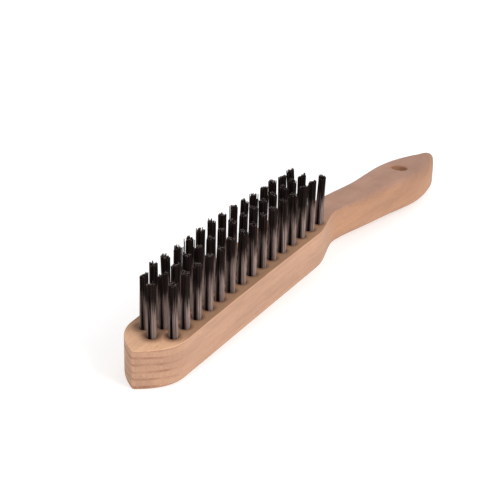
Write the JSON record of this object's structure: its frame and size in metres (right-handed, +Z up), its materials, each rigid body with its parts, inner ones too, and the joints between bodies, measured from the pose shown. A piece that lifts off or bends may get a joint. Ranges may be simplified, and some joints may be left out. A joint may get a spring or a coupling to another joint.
{
  "type": "wire scratch brush",
  "caption": "Hand wire brush: a one-piece wooden block and angled handle with staggered rows of straight steel wire tufts and a hanging hole in the handle.",
  "frame": {"origin": "bottom centre of the bounding box, on the table that the brush lies on with its bristles up; it touches the table at the heel of the nose and under the end of the handle", "axes": "+X along the brush from the nose to the end of the handle, +Y to the left across the brush, +Z up; the bristles point up and lean 3.3 degrees towards the nose, because the handle's bend lifts that end of the block"},
  "size_m": [0.2924, 0.0278, 0.0514],
  "materials": {
    "beech": "bare sanded beech, unvarnished, end grain at the nose",
    "steel_wire": "dark drawn carbon-steel wire with bright cut ends"
  },
  "bodies": {
    "root": {"wooden_body": "beech", "tuft_right_01": "steel_wire", "tuft_right_02": "steel_wire", "tuft_right_03": "steel_wire", "tuft_right_04": "steel_wire", "tuft_right_05": "steel_wire", "tuft_right_06": "steel_wire", "tuft_right_07": "steel_wire", "tuft_right_08": "steel_wire", "tuft_right_09": "steel_wire", "tuft_right_10": "steel_wire", "tuft_right_11": "steel_wire", "tuft_right_12": "steel_wire", "tuft_right_13": "steel_wire", "tuft_right_14": "steel_wire", "tuft_right_15": "steel_wire", "tuft_centre_01": "steel_wire", "tuft_centre_02": "steel_wire", "tuft_centre_03": "steel_wire", "tuft_centre_04": "steel_wire", "tuft_centre_05": "steel_wire", "tuft_centre_06": "steel_wire", "tuft_centre_07": "steel_wire", "tuft_centre_08": "steel_wire", "tuft_centre_09": "steel_wire", "tuft_centre_10": "steel_wire", "tuft_centre_11": "steel_wire", "tuft_centre_12": "steel_wire", "tuft_centre_13": "steel_wire", "tuft_centre_14": "steel_wire", "tuft_centre_15": "steel_wire", "tuft_left_01": "steel_wire", "tuft_left_02": "steel_wire", "tuft_left_03": "steel_wire", "tuft_left_04": "steel_wire", "tuft_left_05": "steel_wire", "tuft_left_06": "steel_wire", "tuft_left_07": "steel_wire", "tuft_left_08": "steel_wire", "tuft_left_09": "steel_wire", "tuft_left_10": "steel_wire", "tuft_left_11": "steel_wire", "tuft_left_12": "steel_wire", "tuft_left_13": "steel_wire", "tuft_left_14": "steel_wire", "tuft_left_15": "steel_wire"}
  },
  "joints": []
}
